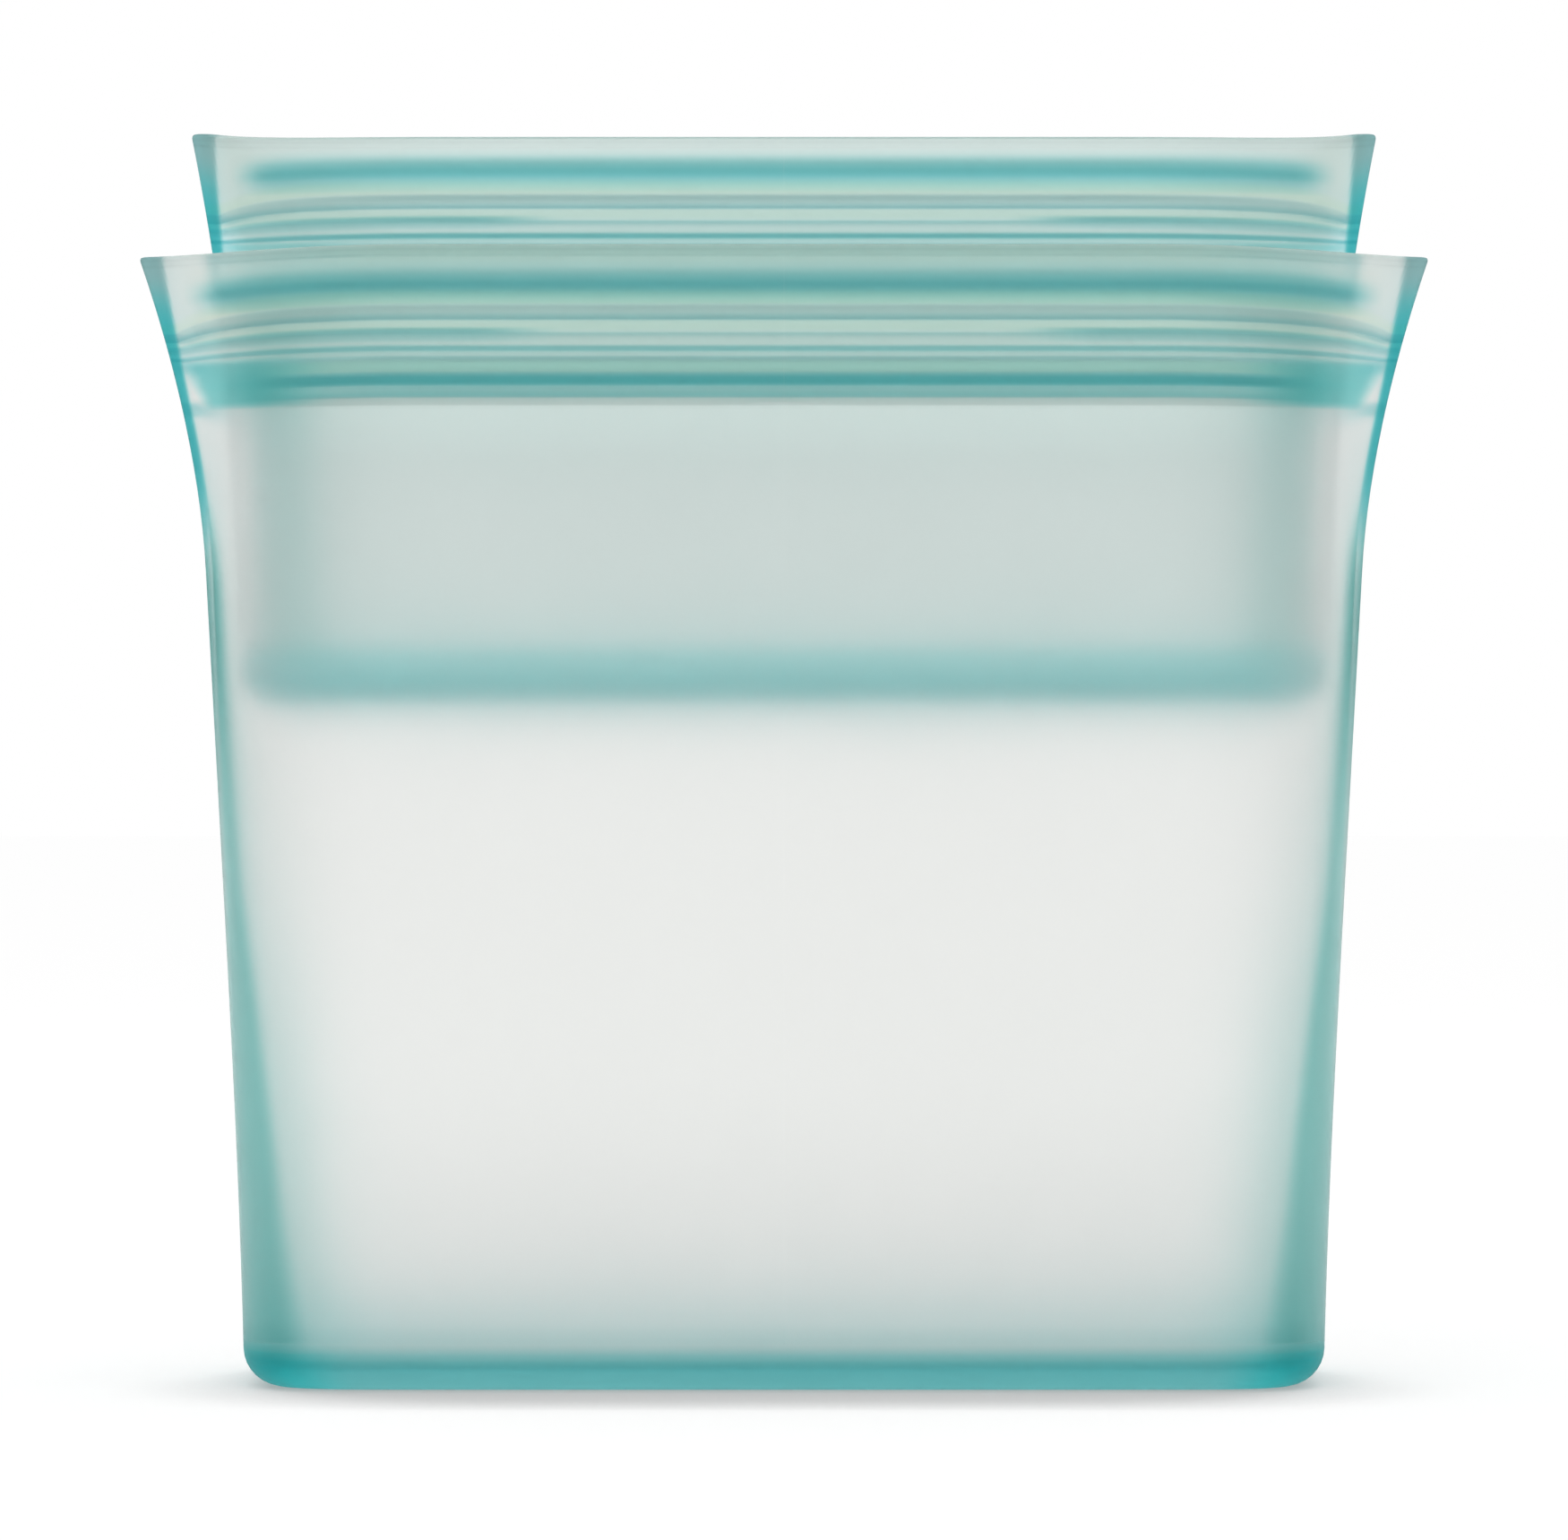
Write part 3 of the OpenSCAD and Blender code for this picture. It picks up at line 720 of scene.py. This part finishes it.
def floorPiece():
    half = studio["floorHalf"]
    mesh = bpy.data.meshes.new("floor")
    corners = [(-half, -half, 0), (half, -half, 0), (half, half, 0), (-half, half, 0)]
    mesh.from_pydata(corners, [], [(0, 1, 2, 3)])
    floor = bpy.data.objects.new("floor", mesh)
    bpy.context.scene.collection.objects.link(floor)
    material, nodes, links, output = startMaterial("paleFloor")
    near = nodes.new("ShaderNodeAmbientOcclusion")  # the contact shadow in front of the base
    near.inputs["Distance"].default_value = studio["nearReach"]
    towards = nodes.new("ShaderNodeCombineXYZ")
    for axis, value in zip("XYZ", studio["nearLeans"]):
        towards.inputs[axis].default_value = value
    links.new(towards.outputs["Vector"], near.inputs["Normal"])
    shadow = nodes.new("ShaderNodeMapRange")
    shadow.inputs["From Min"].default_value, shadow.inputs["From Max"].default_value = studio["nearOpen"]
    shadow.inputs["To Min"].default_value = studio["nearLeast"]
    links.new(near.outputs["AO"], shadow.inputs["Value"])
    path = nodes.new("ShaderNodeLightPath")
    contact = nodes.new("ShaderNodeMapRange")  # seen by the camera, not through the silicone
    contact.inputs["To Min"].default_value = 1.0
    links.new(shadow.outputs["Result"], contact.inputs["To Max"])
    links.new(path.outputs["Is Camera Ray"], contact.inputs["Value"])
    paint = nodes.new("ShaderNodeVectorMath")
    paint.operation = "SCALE"
    paint.inputs[0].default_value = studio["floorColor"]
    links.new(contact.outputs["Result"], paint.inputs["Scale"])
    matte = nodes.new("ShaderNodeBsdfDiffuse")
    links.new(paint.outputs["Vector"], matte.inputs["Color"])
    glow = nodes.new("ShaderNodeEmission")
    links.new(contact.outputs["Result"], glow.inputs["Color"])
    links.new(seenDirectly(nodes, links, studio["floorGlow"], 0.0), glow.inputs["Strength"])
    both = nodes.new("ShaderNodeAddShader")
    links.new(matte.outputs["BSDF"], both.inputs[0])
    links.new(glow.outputs["Emission"], both.inputs[1])
    links.new(both.outputs["Shader"], output.inputs["Surface"])
    mesh.materials.append(material)
    return floor


def lightSurroundings():
    # White round the horizon, fading to a darker sky straight up
    world = bpy.data.worlds.new("whiteSurroundings")
    world.use_nodes = True
    nodes, links = world.node_tree.nodes, world.node_tree.links
    background = nodes["Background"]
    direction = nodes.new("ShaderNodeTexCoord")
    parts = nodes.new("ShaderNodeSeparateXYZ")
    links.new(direction.outputs["Generated"], parts.inputs["Vector"])
    fade = nodes.new("ShaderNodeMapRange")
    fade.inputs["From Min"].default_value = studio["darkensFrom"]
    fade.inputs["To Min"].default_value = 1.0
    fade.inputs["To Max"].default_value = studio["overhead"]
    links.new(parts.outputs["Z"], fade.inputs["Value"])
    strength = seenDirectly(nodes, links, fade.outputs["Result"], studio["skyLight"])
    links.new(strength, background.inputs["Strength"])
    background.inputs["Color"].default_value = (1, 1, 1, 1)
    bpy.context.scene.world = world


def softLamp(name, place, target, size, power):
    data = bpy.data.lights.new(name, "AREA")
    data.shape = "DISK"
    data.size = size
    data.energy = power
    lamp = bpy.data.objects.new(name, data)
    bpy.context.scene.collection.objects.link(lamp)
    lamp.location = place
    aim = np.array(target) - np.array(place)
    flat = math.hypot(aim[0], aim[1])
    lamp.rotation_euler = (math.pi / 2 + math.atan2(aim[2], flat), 0, math.atan2(-aim[0], aim[1]))
    lamp.visible_transmission = False


floorPiece()
lightSurroundings()
for lampName, place, size in studio["lamps"]:
    softLamp(lampName, place, studio["lampTarget"], size, studio["lampPower"])
print("studio lit")

# The view: level with the middle of the picture and square to the front wall
photoView = dict(
    pictureWidth=1750, metresPerPixel=0.0001368, distance=1.1, height=0.0927, sensor=0.036, nearest=0.01,
)


def addCamera():
    view = photoView
    data = bpy.data.cameras.new("camera")
    data.sensor_width = view["sensor"] * 1000
    seenWidth = view["pictureWidth"] * view["metresPerPixel"]
    data.lens = data.sensor_width * view["distance"] / seenWidth
    data.clip_start = view["nearest"]
    camera = bpy.data.objects.new("camera", data)
    camera.location = (0, -view["distance"], view["height"])
    camera.rotation_euler = (math.pi / 2, 0, 0)
    bpy.context.scene.collection.objects.link(camera)
    bpy.context.scene.camera = camera


addCamera()
bpy.context.scene.view_settings.view_transform = "Standard"
